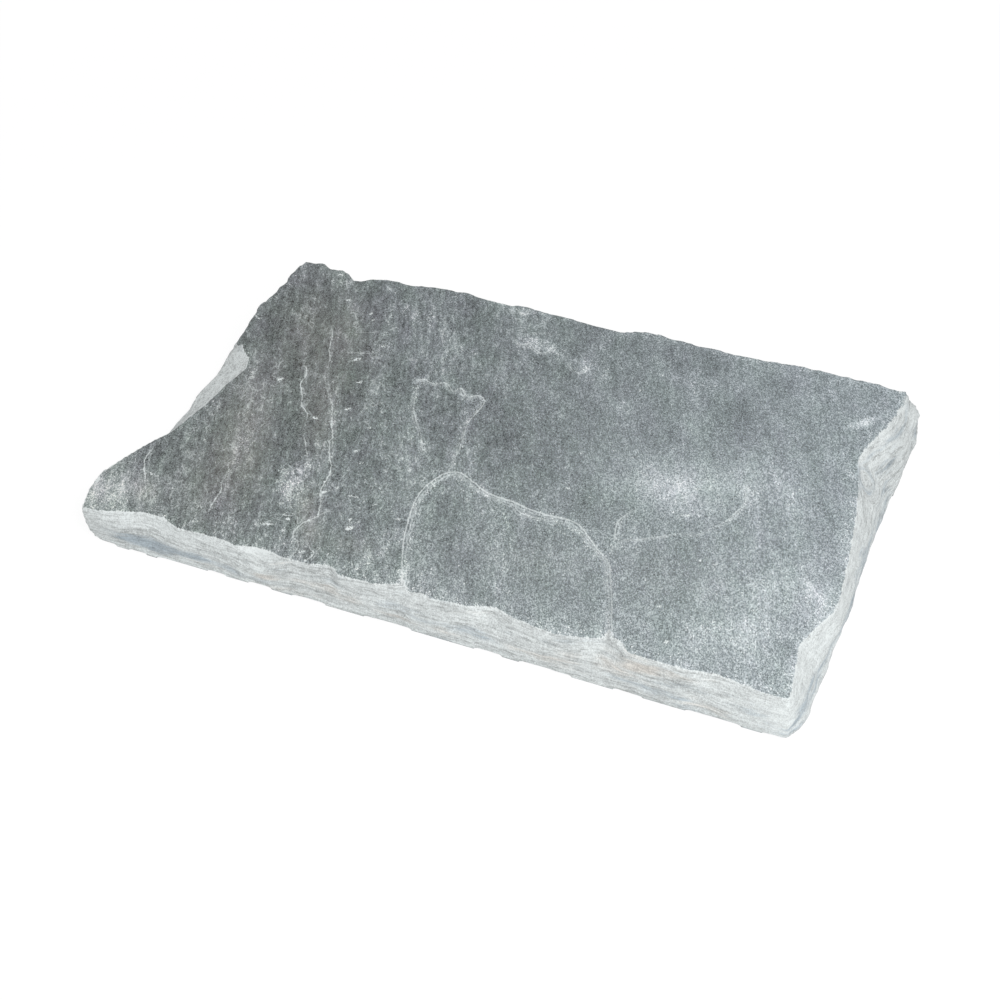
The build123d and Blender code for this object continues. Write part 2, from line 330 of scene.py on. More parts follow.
class StoneStage(bpy.types.PropertyGroup):
    """Floor, light and camera."""

    floor_size: length("Floor Size", "Side of the square floor", 40000.0)
    floor_shade: FloatProperty(
        name="Floor Shade", description="Share of the floor's look that takes the slab's shadow",
        default=0.15, min=0.0, max=1.0, subtype="FACTOR",
    )
    sky_level: FloatProperty(name="Sky Level", description="Strength of even light", default=0.68, min=0.0)
    lamp_power: FloatProperty(
        name="Lamp Power", description="Power of the soft box",
        default=10.0, min=0.0, subtype="POWER", unit="POWER",
    )
    lamp_size: length("Lamp Size", "Side of the soft box", 900.0)
    lamp_place: FloatVectorProperty(
        name="Lamp Place", description="Middle of the soft box",
        default=(0.7, -0.75, 1.0), size=3, subtype="TRANSLATION", unit="LENGTH",
    )
    camera_place: FloatVectorProperty(
        name="Camera Place", description="Where the camera stands",
        default=(0.3958, -0.9707, 0.8354), size=3, subtype="TRANSLATION", unit="LENGTH",
    )
    camera_turn: FloatProperty(
        name="Camera Turn", description="How far round to the right the camera stands",
        default=math.radians(22.77), subtype="ANGLE", unit="ROTATION",
    )
    camera_fall: FloatProperty(
        name="Camera Fall", description="How far down the camera looks",
        default=math.radians(39.2), subtype="ANGLE", unit="ROTATION",
    )
    camera_lens: FloatProperty(
        name="Lens", description="Focal length on a 36 mm sensor",
        default=66.6, subtype="DISTANCE_CAMERA", unit="CAMERA",
    )


def smooth_step(low, high, values):
    """0 at low, 1 at high and a smooth rise between. High may be the smaller."""
    share = np.clip((values - low) / (high - low), 0.0, 1.0)
    return share * share * (3.0 - 2.0 * share)


def bumps(points, size, seed):
    """Smooth noise from -1 to 1 at each point, with bumps of that size."""
    return np.array([noise.noise(p) for p in (points / size + SEED_STEP * seed).tolist()])


def curve_through(line):
    """Points along a smooth curve through the rows of a line."""
    rows = np.array([line[0], *line, line[-1]], float)
    share = np.linspace(0.0, 1.0, LINE_STEPS, endpoint=False)[:, None]
    spans = []
    for a, b, c, d in zip(rows, rows[1:], rows[2:], rows[3:]):
        bend = 2.0 * a - 5.0 * b + 4.0 * c - d + share * (3.0 * (b - c) + d - a)
        spans.append(b + 0.5 * share * (c - a + share * bend))
    return np.vstack((*spans, rows[-1:]))


def beside(places, lines):
    """Each plan place's distance from the nearest line, negative to its right, and how strongly it shows."""
    distance, strength = np.full(len(places), LINE_REACH), np.zeros(len(places))
    for line in lines:
        points = curve_through(line)
        low, high = points[:, :2].min(0) - LINE_REACH, points[:, :2].max(0) + LINE_REACH
        near = np.flatnonzero(np.all((places > low) & (places < high), axis=1))
        for a, b in zip(points, points[1:]):
            along, off = b[:2] - a[:2], places[near] - a[:2]
            share = np.clip(off @ along / (along @ along), 0.0, 1.0)
            gap = np.linalg.norm(off - share[:, None] * along, axis=1)
            side = np.where(along[0] * off[:, 1] < along[1] * off[:, 0], -1.0, 1.0)
            closer = gap < np.abs(distance[near])
            distance[near[closer]] = (side * gap)[closer]
            strength[near[closer]] = (a[2] + share * (b[2] - a[2]))[closer]
    return np.c_[distance, strength]


def patches(places, spots):
    """Sum of soft oval patches at each plan place."""
    total = np.zeros(len(places))
    for x, y, half_length, half_width, turn, strength in spots:
        c, s = math.cos(math.radians(turn)), math.sin(math.radians(turn))
        off = places - np.array((x, y), float)
        along, across = off @ np.array((c, s)), off @ np.array((-s, c))
        total += strength * np.exp(-((along / half_length) ** 2) - (across / half_width) ** 2)
    return total


def blobs(points, spots):
    """Sum of soft blobs at each point."""
    total = np.zeros(len(points))
    for x, y, z, along_x, along_y, along_z, strength in spots:
        off = (points - (x, y, z)) / (along_x, along_y, along_z)
        total += strength * np.exp(-np.sum(off * off, axis=1))
    return total


def even_slab(node, shape):
    """An even, closed copy of the slab's mesh, finer in height, with its bed as one face."""
    mesh = node.data.copy()
    bm = bmesh.new()
    bm.from_mesh(mesh)
    bmesh.ops.remove_doubles(bm, verts=bm.verts, dist=TINY)
    bmesh.ops.scale(bm, vec=(1.0, 1.0, shape.height_detail), verts=bm.verts)
    bm.to_mesh(mesh)
    bm.free()
    rough = bpy.data.objects.new("rough_slab", mesh)
    bpy.context.scene.collection.objects.link(rough)
    remesh = rough.modifiers.new("Even", "REMESH")
    remesh.mode = "VOXEL"
    remesh.voxel_size = shape.spacing
    even = bpy.data.meshes.new_from_object(rough.evaluated_get(bpy.context.evaluated_depsgraph_get()))
    bpy.data.objects.remove(rough)
    bpy.data.meshes.remove(mesh)

    bm = bmesh.new()
    bm.from_mesh(even)
    bmesh.ops.scale(bm, vec=(1.0, 1.0, 1.0 / shape.height_detail), verts=bm.verts)
    for vert in bm.verts:
        if vert.co.z < BED_SNAP:
            vert.co.z = 0.0
    bed = [face for face in bm.faces if all(vert.co.z == 0.0 for vert in face.verts)]
    bmesh.ops.dissolve_faces(bm, faces=bed, use_verts=False)
    bm.to_mesh(even)
    bm.free()
    return even


def tread_plane(mesh):
    """The tread's unit normal and its height along that, in millimetres, from the slab's own mesh."""
    level = [p for p in mesh.polygons if p.normal.z > TREAD_RISE]
    normal = sum((p.normal * p.area for p in level), Vector()).normalized()
    height = max(normal @ mesh.vertices[i].co for p in level for i in p.vertices)
    return np.array(normal), height / MM


def read(collection, field, width):
    """One field of every item of a mesh collection, as rows of that width."""
    values = np.empty(len(collection) * width, np.int32 if field == "vertices" else np.float32)
    collection.foreach_get(field, values)
    return values.reshape(-1, width)


def blurred(values, edges, rounds):
    """Values at a mesh's points, each evened out with its neighbours that many times."""
    a, b = edges.T
    neighbours = np.bincount(a, minlength=len(values)) + np.bincount(b, minlength=len(values))
    for unused in range(rounds):
        around = np.bincount(a, values[b], len(values)) + np.bincount(b, values[a], len(values))
        values = 0.5 * (values + around / neighbours)
    return values


def layered(points, name):
    """Sum of one of the relief's sets of layers at each point."""
    layers = RELIEF[name]
    return sum(height * bumps(points * (1.0, 1.0, lower), size, seed) for height, size, lower, seed in layers)


def zone(points, name):
    """1 at points in a zone of the slab, 0 at points outside it and a smooth rise between."""
    spans = ZONES[name].items()
    return math.prod(smooth_step(*span, points[:, "xyz".index(axis)]) for axis, span in spans)


class Surface:
    """Points of the even slab in millimetres, with how deep each is under the tread and how far it tilts."""

    def __init__(self, mesh, tread):
        self.up, top = tread
        self.points = read(mesh.vertices, "co", 3).astype(float) / MM
        self.normals = read(mesh.vertices, "normal", 3).astype(float)
        self.plan = self.points * (1.0, 1.0, 0.0)
        self.depth = top - self.points @ self.up
        self.tilt = 1.0 - self.normals @ self.up


def broken_edges(slab, shape):
    """How far each point belongs to the broken edges, and its move there.

    Each bed stands in or out by its own amount, and all of them are rough.
    """
    wall = smooth_step(*WALL_TILT, slab.tilt) * smooth_step(*WALL_DEPTH, slab.depth)
    wall *= zone(slab.points, "above_bed")
    on_wall = wall > 0.0
    points, plan = slab.points[on_wall], slab.plan[on_wall]
    bedding = points[:, 2] + layered(plan, "bedding")
    push = np.zeros(len(points))
    for k, (low, high) in enumerate(zip(LEDGES, LEDGES[1:])):
        over_low = smooth_step(low - LEDGE_BLEND, low + LEDGE_BLEND, bedding)
        over_high = smooth_step(high - LEDGE_BLEND, high + LEDGE_BLEND, bedding)
        push += (over_low - over_high) * bumps(plan, LEDGE_LENGTH, LEDGE_SEED + k)
    push *= shape.ledge_depth / MM
    push += layered(points, "rough_edges")
    push += RIGHT_BULGE * zone(points, "right_bulge")
    push += zone(points, "back_edge") * (layered(points, "back_bulges") + BACK_ROUGHER * push)
    out = slab.normals[on_wall] * (1.0, 1.0, 0.0)
    out /= np.maximum(np.linalg.norm(out, axis=1), TINY)[:, None]
    moves = np.zeros_like(slab.points)
    moves[on_wall] = out * (push * wall[on_wall])[:, None]
    return wall, moves


def cleft_tread(slab):
    """Which points lie on the tread, and how far each of those is from the broken edges."""
    steep = slab.tilt > RIM_LEAST_TILT
    rim = np.flatnonzero(steep & (slab.depth > RIM_LEAST_DEPTH) & (slab.depth < RIM_MOST_DEPTH))
    tree = kdtree.KDTree(len(rim))
    for i, co in zip(rim, slab.points[rim].tolist()):
        tree.insert(co, int(i))
    tree.balance()
    level = slab.tilt < TREAD_MOST_TILT
    on_tread = level & (slab.depth < TREAD_MOST_DEPTH) & (slab.points[:, 2] > BED_BAND)
    gap = np.array([tree.find(co)[2] for co in slab.points[on_tread].tolist()])
    return on_tread, gap


def tread_moves(points, plan, gap, shape):
    """How far chips along the rim lower each point of the tread, and how far waves and terraces lift it."""
    chip = np.clip(layered(points, "chips") - CHIP_LEVEL, 0.0, 1.0)
    reach = CHIP_LEAST_REACH + chip * shape.chip_reach / MM
    lower = chip * shape.chip_depth / MM * np.clip(1.0 - (gap - CHIP_FADE_START) / reach, 0.0, 1.0)
    terraces = smooth_step(*TERRACE_EDGE, bumps(plan * TERRACE_STRETCH, TERRACE_SIZE, TERRACE_SEED))
    lift = (layered(plan, "tread") + TERRACE_HEIGHT * terraces) * shape.tread_relief / MM
    return lower, lift


def scallops(points):
    """Moves of the points along the back rim and the back left rim into small scallops."""
    back, left = zone(points, "back_scallops"), zone(points, "left_scallops")
    at_rim = np.maximum(back, left) > 0.0
    near = points[at_rim]
    out = np.abs(layered(near, "scallops")) + layered(near, "rough_scallops") - SCALLOP_INSET
    moves = np.zeros_like(points)
    moves[at_rim] = out[:, None] * np.c_[-left, back, np.zeros(len(points))][at_rim]
    return moves


def wear(slab, on_tread, gap, lower, edges):
    """At each point, how freshly broken the stone is, how near the rim it is and how steep."""
    fresh = smooth_step(*FRESH_TILT, slab.tilt)
    fresh[on_tread] *= smooth_step(*FRESH_GAP, gap)
    fresh[on_tread] = np.maximum(fresh[on_tread], np.clip(lower / FRESH_CHIP, 0.0, 1.0))
    # The back rim is as weathered as the tread, and so is the rim of the back left corner
    left_rim = zone(slab.points, "left_rim")
    worn_rim = np.maximum(zone(slab.points, "back_rim"), left_rim)
    worn_depth = WORN_DEPTH + WORN_LEFT_DEPTH * left_rim * zone(slab.points, "left_rim_front")
    worn_depth += layered(slab.points, "worn_edge")
    fresh *= 1.0 - worn_rim * smooth_step(WORN_BLEND, -WORN_BLEND, slab.depth - worn_depth)
    near_rim = np.zeros(len(fresh))
    near_rim[on_tread] = np.exp(-np.maximum(gap - RIM_LEAST_DEPTH, 0.0) / RIM_FADE)
    steep = smooth_step(*STEEP_TILT, slab.tilt)
    return np.c_[blurred(fresh, edges, FRESH_BLUR), near_rim, blurred(steep, edges, STEEP_BLUR)]


def relief(mesh, tread, shape):
    """Moves the even slab's points into the cleft tread and the broken edges.

    Returns where the points were, and how worn the stone is at each of them.
    """
    slab = Surface(mesh, tread)
    wall, edge_moves = broken_edges(slab, shape)
    on_tread, gap = cleft_tread(slab)
    lower, lift = tread_moves(slab.points[on_tread], slab.plan[on_tread], gap, shape)
    moved = slab.points + scallops(slab.points) + edge_moves
    moved[on_tread] += slab.up * ((lift - lower) * (1.0 - wall[on_tread]))[:, None]
    mesh.vertices.foreach_set("co", (moved * MM).astype(np.float32).ravel())
    mesh.update()
    return slab.points, wear(slab, on_tread, gap, lower, read(mesh.edges, "vertices", 2))


def paint(mesh, points, worn):
    """Writes what the finish reads at each point: wear, patches, beds, flecks and the lines on the tread."""
    places = points[:, :2]
    on_bed = points[:, 2] < BED_BAND
    # The slope makes the tread lighter to the front right: partly the stone's own tone, partly painted sheen
    tone = places @ TONE_AND_SHEEN_SLOPE + patches(places, TONE_PATCHES)
    shade = np.c_[tone, patches(places, PALE_PATCHES), patches(places, WARM_PATCHES)]
    fleck = patches(places, [(*spot, FLECK_STRENGTH) for spot in FLECKS])
    shade[on_bed] = 0.0
    fleck[on_bed] = 0.0
    vectors = {
        "shade": shade,
        "wear": worn,
        "beds": np.c_[blobs(points, COOL_BEDS), blobs(points, BEIGE_BEDS), blobs(points, WHITE_BEDS)],
    }
    for name, lines in LINES.items():
        near_line = beside(places, lines)
        near_line[on_bed] = LINE_REACH, 0.0
        vectors[name] = np.c_[near_line, fleck]
    for name, values in vectors.items():
        attribute = mesh.attributes.new(name, "FLOAT_VECTOR", "POINT")
        attribute.data.foreach_set("vector", values.astype(np.float32).ravel())


class Value:
    """A number in a node tree. An expression on values adds its Math nodes."""

    def __init__(self, nodes, socket):
        self.nodes, self.socket = nodes, socket

    def maths(self, operation, *operands):
        return self.nodes.value("ShaderNodeMath", {"operation": operation}, dict(enumerate(operands)))

    def __add__(self, other):
        return self.maths("ADD", self, other)

    def __sub__(self, other):
        return self.maths("SUBTRACT", self, other)

    def __rsub__(self, other):
        return self.maths("SUBTRACT", other, self)

    def __mul__(self, other):
        return self.maths("MULTIPLY", self, other)

    def __truediv__(self, other):
        return self.maths("DIVIDE", self, other)

    def __rtruediv__(self, other):
        return self.maths("DIVIDE", other, self)

    def __abs__(self):
        return self.maths("ABSOLUTE", self)

    __radd__, __rmul__ = __add__, __mul__

    def over(self, other):
        """The larger of two values."""
        return self.maths("MAXIMUM", self, other)

    def held(self, low=0.0, high=1.0):
        """The value kept between two limits."""
        return self.nodes.value("ShaderNodeClamp", {}, {"Value": self, "Min": low, "Max": high})

    def rise(self, low, high):
        """0 at low, 1 at high and a smooth rise between. High may be the smaller."""
        return self.nodes.value(
            "ShaderNodeMapRange", {"interpolation_type": "SMOOTHSTEP", "clamp": True},
            {"Value": self, "From Min": low, "From Max": high, "To Min": 0.0, "To Max": 1.0},
        )


class Nodes:
    """The node tree of a material or a world, under construction."""

    def __init__(self, owner):
        owner.use_nodes = True
        self.tree = owner.node_tree
        self.tree.nodes.clear()

    def add(self, kind, settings, sockets):
        """A node of that kind, its settings set first and then its sockets filled or linked."""
        node = self.tree.nodes.new(kind)
        for name, setting in settings.items():
            if name == "stops":
                ramp = node.color_ramp
                while len(ramp.elements) < len(setting):
                    ramp.elements.new(1.0)
                for element, (place, stop) in zip(ramp.elements, setting):
                    element.position, element.color = place, (*stop[:3], 1.0)
            else:
                setattr(node, name, setting)
        for name, given in sockets.items():
            socket = node.inputs[name]
            given = given.socket if isinstance(given, Value) else given
            if isinstance(given, bpy.types.NodeSocket):
                self.tree.links.new(given, socket)
            elif socket.type == "RGBA":
                socket.default_value = (*given[:3], 1.0)
            else:
                socket.default_value = given
        return node

    def value(self, kind, settings, sockets, output=0):
        """One output of a new node, as a value."""
        return Value(self, self.add(kind, settings, sockets).outputs[output])

    def vector(self, operation, **sockets):
        """The outcome of a Vector Math node."""
        places = {"first": 0, "second": 1, "third": 2, "scale": "Scale"}
        given = {places[name]: v for name, v in sockets.items()}
        return self.add("ShaderNodeVectorMath", {"operation": operation}, given).outputs[0]

    def split(self, vector):
        """The three parts of a vector."""
        return [Value(self, out) for out in self.add("ShaderNodeSeparateXYZ", {}, {0: vector}).outputs]

    def attribute(self, name):
        """The three parts of one of the mesh's own attributes."""
        return self.split(self.add("ShaderNodeAttribute", {"attribute_name": name}, {}).outputs["Vector"])

    def mix(self, factor, first, second):
        """Two colours mixed by a factor."""
        return self.add("ShaderNodeMix", {"data_type": "RGBA"}, {0: factor, 6: first, 7: second}).outputs[2]

    def noise(self, place, size, detail, roughness, seed):
        """Noise of about -1 to 1 with features of that size along the three axes."""
        shift = [step * seed for step in SEED_SHIFT]
        moved = self.vector("MULTIPLY_ADD", first=place, second=[1.0 / s for s in size], third=shift)
        raw = self.value(
            "ShaderNodeTexNoise", {"noise_dimensions": "3D"},
            {"Vector": moved, "Scale": 1.0, "Detail": detail, "Roughness": roughness},
        )
        return (raw - 0.5) * 4.0

    def grains(self, place, size):
        """Three random values from -0.5 to 0.5 for each grain of that size along the three axes."""
        scaled = self.vector("MULTIPLY", first=place, second=[1.0 / s for s in size])
        cells = self.add("ShaderNodeTexVoronoi", {"feature": "F1"}, {"Vector": scaled, "Scale": 1.0})
        return [part - 0.5 for part in self.split(cells.outputs["Color"])]


# How the lines on the tread look, in millimetres: half width of a strand, how far it wanders, how dotted it
# is, how crumbled the stone beside the line is, how far to the left the middle of that lies, and for each
# strand how far to the left it runs and how pale it is
LINE_LOOKS = {
    "flake_edge": (0.55, 0.4, 0.25, 0.4, -1.6, ((0.5, 0.69), (-1.3, 0.35), (-3.0, 0.22))),
    "thin_edges": (0.55, 0.6, 0.4, 0.5, -0.8, ((0.0, 0.66), (-1.8, 0.3))),
    "veins": (0.5, 0.75, 0.55, 0.3, 0.5, ((0.0, 0.83), (2.2, 0.2))),
}
# Where a strand fades out, in half widths, how far each drifts from the one before, and how far crumbs reach
STRAND_EDGE = (1.4, 0.3)
STRAND_DRIFT = 0.9
CRUMBLED_EDGE = (5.5, 0.3)

# Noise of the finish: size along three axes in millimetres, detail, roughness and seed
PATTERNS = {
    # Drawn out along the cleavage
    "broad": ((75.0, 20.0, 30.0), 4.0, 0.65, 1.0),
    "mottle": ((11.0, 4.6, 5.5), 3.0, 0.78, 2.0),
    "strokes": ((30.0, 2.6, 6.0), 2.0, 0.6, 9.0),
    "hairs": ((24.0, 12.0, 12.0), 2.0, 0.6, 11.0),
    "cast": ((50.0, 20.0, 20.0), 3.0, 0.7, 7.0),
    # Along the slab
    "clouds": ((34.0, 26.0, 26.0), 3.0, 0.6, 12.0),
    "wander": ((3.4, 3.4, 3.4), 3.0, 0.65, 3.0),
    "drift": ((20.0, 20.0, 20.0), 1.0, 0.5, 10.0),
    "wave": ((60.0, 60.0, 60.0), 2.0, 0.6, 4.0),
    # Along the beds
    "streaks": ((24.0, 24.0, 1.6), 3.0, 0.75, 5.0),
    "bands": ((60.0, 60.0, 8.0), 2.0, 0.6, 6.0),
    "partings": ((45.0, 45.0, 3.4), 2.0, 0.5, 8.0),
}
# The cleavage's turn, the shapes of grains and crumbs in grain sizes, and the size of the beds' flakes
CLEAVAGE_TURN = (0.0, 0.0, math.radians(67.0))
GRAIN_SHAPE = (1.5, 1.0, 1.0)
CRUMB_SHAPE = (3.6, 2.4, 2.4)
LAMINA_SIZE = (7.0, 7.0, 0.9)

# How the bedding bends, in millimetres: in waves, in a scoop and round a knot at the right end, and in a fold
# at the front left. The knot's edge is in square millimetres.
WAVE_HEIGHT = 2.4
SCOOP_Y = 95.0
SCOOP_SLOPE = 0.14
SCOOP_EDGE = (75.0, 30.0)
KNOT_Y = 65.0
KNOT_Z = 21.0
KNOT_FLATNESS = 0.35
KNOT_EDGE = (110.0, 0.0)
KNOT_HEIGHT = 10.0
FOLD_X = -113.0
FOLD_EDGE = (24.0, 2.0)
FOLD_HEIGHT = 4.5

# Where the tread's tone is dark, grey, light and white
TONE_STOPS = (0.1, 0.565, 0.775, 1.0)


class SlateTexture:
    """What the cleft face and the breaks share: places, wear, and grain and mottle along the cleavage."""

    def __init__(self, slate, look):
        where = slate.add("ShaderNodeTexCoord", {}, {}).outputs["Object"]
        self.slate = slate
        self.place = slate.vector("SCALE", first=where, scale=1.0 / MM)
        self.x, self.y, self.z = slate.split(self.place)
        self.fresh, self.near_rim, self.steep = slate.attribute("wear")
        turned = {"Vector": self.place, "Rotation": CLEAVAGE_TURN}
        self.drawn_out = slate.add("ShaderNodeMapping", {}, turned).outputs[0]
        size = look.grain_size / MM
        grains = slate.grains(self.drawn_out, [size * share for share in GRAIN_SHAPE])
        crumbs = slate.grains(self.drawn_out, [size * share for share in CRUMB_SHAPE])
        self.grain, self.white_pick, self.dark_pick = grains
        self.crumb, self.crumb_pick = crumbs[:2]
        self.broad = self.cleavage("broad")
        self.mottle = self.cleavage("mottle")
        self.to_left = self.zone("left_side")
        self.calm = 1.0 - self.zone("right_side") * 0.5
        self.right_end = self.zone("right_end")
        self.swirled = self.zone("swirled")

    def cleavage(self, name):
        """A pattern drawn out along the cleavage."""
        return self.slate.noise(self.drawn_out, *PATTERNS[name])

    def plain(self, name):
        """A pattern along the slab."""
        return self.slate.noise(self.place, *PATTERNS[name])

    def zone(self, name):
        """1 in a zone of the slab, 0 outside it and a smooth rise between."""
        axes = {"x": self.x, "y": self.y, "z": self.z}
        return math.prod(axes[axis].rise(*span) for axis, span in ZONES[name].items())


def tread_marks(slate, stone):
    """How pale the lines and flecks on the tread are, and how crumbled the stone beside the lines is."""
    wander, drift = stone.plain("wander"), stone.plain("drift")
    hairs = abs(stone.cleavage("hairs")).rise(0.07, 0.01)
    swell = (1.0 + stone.mottle * 0.5).held(0.5, 1.7)
    uneven = stone.mottle * 0.6 + stone.grain * 0.8 - 0.1
    lines = hairs * (stone.broad + stone.mottle * 0.6).rise(-0.2, 0.7) * stone.to_left * 0.4
    crumbs = lines * 0.5
    for name, (half_width, wandering, dotted, crumbled, middle, strands) in LINE_LOOKS.items():
        distance, strength, fleck = slate.attribute(name)
        crumbs = crumbs.over(abs(distance - middle).rise(*CRUMBLED_EDGE) * strength * crumbled)
        shown = (strength + uneven * dotted).held()
        edge = [share * half_width for share in STRAND_EDGE]
        for k, (leftwards, paleness) in enumerate(strands):
            off = abs(distance + wander * wandering + drift * (STRAND_DRIFT * k) - leftwards) / swell
            lines = lines.over(off.rise(*edge) * shown * paleness)
    flecks = fleck * (1.0 + stone.mottle * 0.4 + stone.grain * 1.2 + stone.crumb * 1.2)
    return lines.over(flecks.rise(0.5, 1.2)), crumbs


def picked_grains(stone, dusty, crumbs):
    """How much lighter the white grains make the stone, and how much darker the dark ones."""
    share = 0.025 + dusty * stone.calm * 0.42 + crumbs * 0.35 + stone.near_rim * 0.14
    share = share + stone.mottle * stone.calm * 0.13 + stone.broad * 0.05
    white = (stone.white_pick + share - 0.5).rise(0.0, 0.06) * 0.22
    white = white + (stone.crumb + share * 0.5 - 0.5).rise(0.0, 0.04) * stone.calm * 0.1
    dark = (stone.dark_pick - stone.mottle * 0.08 - 0.34).rise(0.0, 0.06) * 0.14
    return white - dark


def cleft_face(slate, stone, crumbs, look):
    """Colour of the weathered tread, and how much its white and dark grains change it."""
    tone, pale, warm = slate.attribute("shade")
    strokes = stone.cleavage("strokes") * (0.3 + stone.to_left * 0.7)
    dusty = (pale * (0.75 + stone.mottle * 0.45 + stone.broad * 0.3)).held()
    speckle = picked_grains(stone, dusty, crumbs)
    # The tone read here is lighter to the front right, partly as painted sheen
    light = 0.53 + tone + stone.grain * 0.38 + stone.crumb_pick * stone.calm * 0.08 + strokes * 0.08
    light = light + stone.mottle * stone.calm * (0.085 + stone.to_left * 0.035)
    light = light + stone.broad * (0.08 + stone.to_left * 0.03) + stone.plain("clouds") * 0.03
    light = light + dusty * (0.21 - stone.calm * 0.12) + crumbs * 0.08 + stone.near_rim * 0.05 + speckle
    stops = tuple(zip(TONE_STOPS, (look.skin_dark, look.skin_grey, look.skin_light, look.skin_white)))
    skin = slate.add("ShaderNodeValToRGB", {"stops": stops}, {0: light}).outputs[0]
    stain = (warm * (0.55 + stone.mottle * 0.2 + stone.broad * 0.35)).held() * 0.7
    skin = slate.mix(stain, skin, slate.mix(0.6, skin, look.warm_tint))
    # Faint green and lilac casts, and bluer to the right and the back
    cast = stone.cleavage("cast") * (1.0 + stone.to_left * 0.7)
    red = 1.0 + cast * 0.02
    green = 1.0 - cast * 0.012 + stone.x * 0.00005
    blue = 1.0 + cast * 0.024 + stone.x * 0.00014 + stone.y * 0.00007
    tint = slate.add("ShaderNodeCombineXYZ", {}, {0: red, 1: green, 2: blue}).outputs[0]
    return slate.vector("MULTIPLY", first=skin, second=tint), speckle


def bed_height(stone):
    """Height of a place in the bent bedding."""
    wave = stone.plain("wave") * WAVE_HEIGHT
    off_scoop = stone.y - SCOOP_Y
    scoop = off_scoop * SCOOP_SLOPE * stone.right_end * abs(off_scoop).rise(*SCOOP_EDGE)
    off_y, off_z = stone.y - KNOT_Y, stone.z - KNOT_Z
    knot = (off_y * off_y * KNOT_FLATNESS + off_z * off_z).rise(*KNOT_EDGE) * stone.swirled * KNOT_HEIGHT
    fold = abs(stone.x - FOLD_X).rise(*FOLD_EDGE) * stone.zone("front_edge") * FOLD_HEIGHT
    return stone.z + wave + scoop + knot + fold


def broken_face(slate, stone, speckle, look):
    """Colour of the breaks, in thin beds of different colour, and those beds for the bump."""
    place = {0: stone.x, 1: stone.y, 2: bed_height(stone)}
    bedded = slate.add("ShaderNodeCombineXYZ", {}, place).outputs[0]
    lamina = slate.grains(bedded, LAMINA_SIZE)[0]
    streaks, bands, gaps = (slate.noise(bedded, *PATTERNS[name]) for name in ("streaks", "bands", "partings"))
    partings = abs(gaps).rise(0.16, 0.03)
    cool_bed, beige_bed, white_bed = slate.attribute("beds")
    cool = bands * 0.9 + streaks * (0.3 + cool_bed * 0.5) + cool_bed * 0.9 - white_bed * 0.8 - 0.25
    beige = stone.broad * 0.2 - bands * 0.8 + streaks * 0.2 + beige_bed * 0.8 - white_bed * 0.5
    beige = beige - stone.right_end * 0.6 - 0.2
    broken = slate.mix(beige.rise(0.0, 0.9), look.break_pale, look.break_beige)
    broken = slate.mix(cool.rise(0.0, 1.0), broken, look.break_blue)
    # The chip at the left end is mottled and shows little bedding
    steep = stone.steep * (1.0 - stone.zone("left_chip") * 0.9)
    lip = stone.fresh.rise(0.3, 0.5) * stone.fresh.rise(0.95, 0.7)
    beds = (streaks * 0.2 + lamina * 0.26) * (1.0 - stone.right_end * 0.5)
    beds = beds - partings * (0.18 - stone.right_end * 0.08 + stone.swirled * 0.18)
    shift = beds * (0.15 + steep * 0.85) + stone.grain * (0.7 - steep * 0.3)
    shift = shift + stone.mottle * (0.34 - steep * 0.22) + lip * 0.1 + stone.right_end * 0.07
    shift = shift + speckle * (1.2 - steep * 0.6) + white_bed * (0.22 + stone.mottle * 0.1)
    broken = slate.vector("SCALE", first=broken, scale=(1.0 + shift).held(0.25, 1.3))
    return broken, streaks + lamina


def slate_finish(look):
    """Riven slate: a weathered cleft face, pale bedded breaks, and pale flake edges and veins."""
    material = bpy.data.materials.new("riven_slate")
    slate = Nodes(material)
    stone = SlateTexture(slate, look)
    marks, crumbs = tread_marks(slate, stone)
    skin, speckle = cleft_face(slate, stone, crumbs, look)
    broken, thin_beds = broken_face(slate, stone, speckle, look)

    # The breaks end raggedly at the tread, most of all at the back right corner. The bed face is cleft.
    at_corner = stone.near_rim * stone.zone("back_corner")
    ragged = stone.fresh + stone.mottle * 0.19 + stone.grain * 0.05
    ragged = ragged + at_corner * (0.3 + stone.mottle * 0.5 + stone.grain * 0.3)
    break_mask = ragged.rise(0.46, 0.66) * stone.zone("off_bed")
    surface = slate.mix(break_mask, skin, broken)
    surface = slate.mix(marks * (1.0 - break_mask), surface, look.mark_white)

    height = stone.mottle * 0.5 + stone.grain * 0.4 + (thin_beds * 0.8 - stone.mottle * 0.3) * stone.fresh
    bumpy = {"Height": height, "Distance": 0.35 * MM, "Strength": 0.6}
    normal = slate.add("ShaderNodeBump", {}, bumpy).outputs[0]
    rough = 0.8 + break_mask * 0.08 + stone.mottle * 0.04
    shader = slate.add(
        "ShaderNodeBsdfPrincipled", {},
        {"Base Color": surface, "Roughness": rough, "Normal": normal, "Specular IOR Level": 0.35},
    )
    slate.add("ShaderNodeOutputMaterial", {}, {"Surface": shader.outputs[0]})
    return material


# The floor lies this far under the bed, and takes shadow within these distances from the slab, in metres.
# Its glow is a little over 1, so that it comes out white where it takes shadow as well.
FLOOR_DROP = 0.2 * MM
SHADOW_EDGE = (2.0, 0.5)
FLOOR_GLOW = 1.04
WHITE = (1.0, 1.0, 1.0)


def seen(nodes):
    """1 where the camera sees a surface itself, or in a mirror or through glass."""
    path = nodes.add("ShaderNodeLightPath", {}, {})
    rays = ("Is Camera Ray", "Is Glossy Ray", "Is Transmission Ray")
    camera, glossy, through = (Value(nodes, path.outputs[ray]) for ray in rays)
    return camera.over(glossy).over(through)


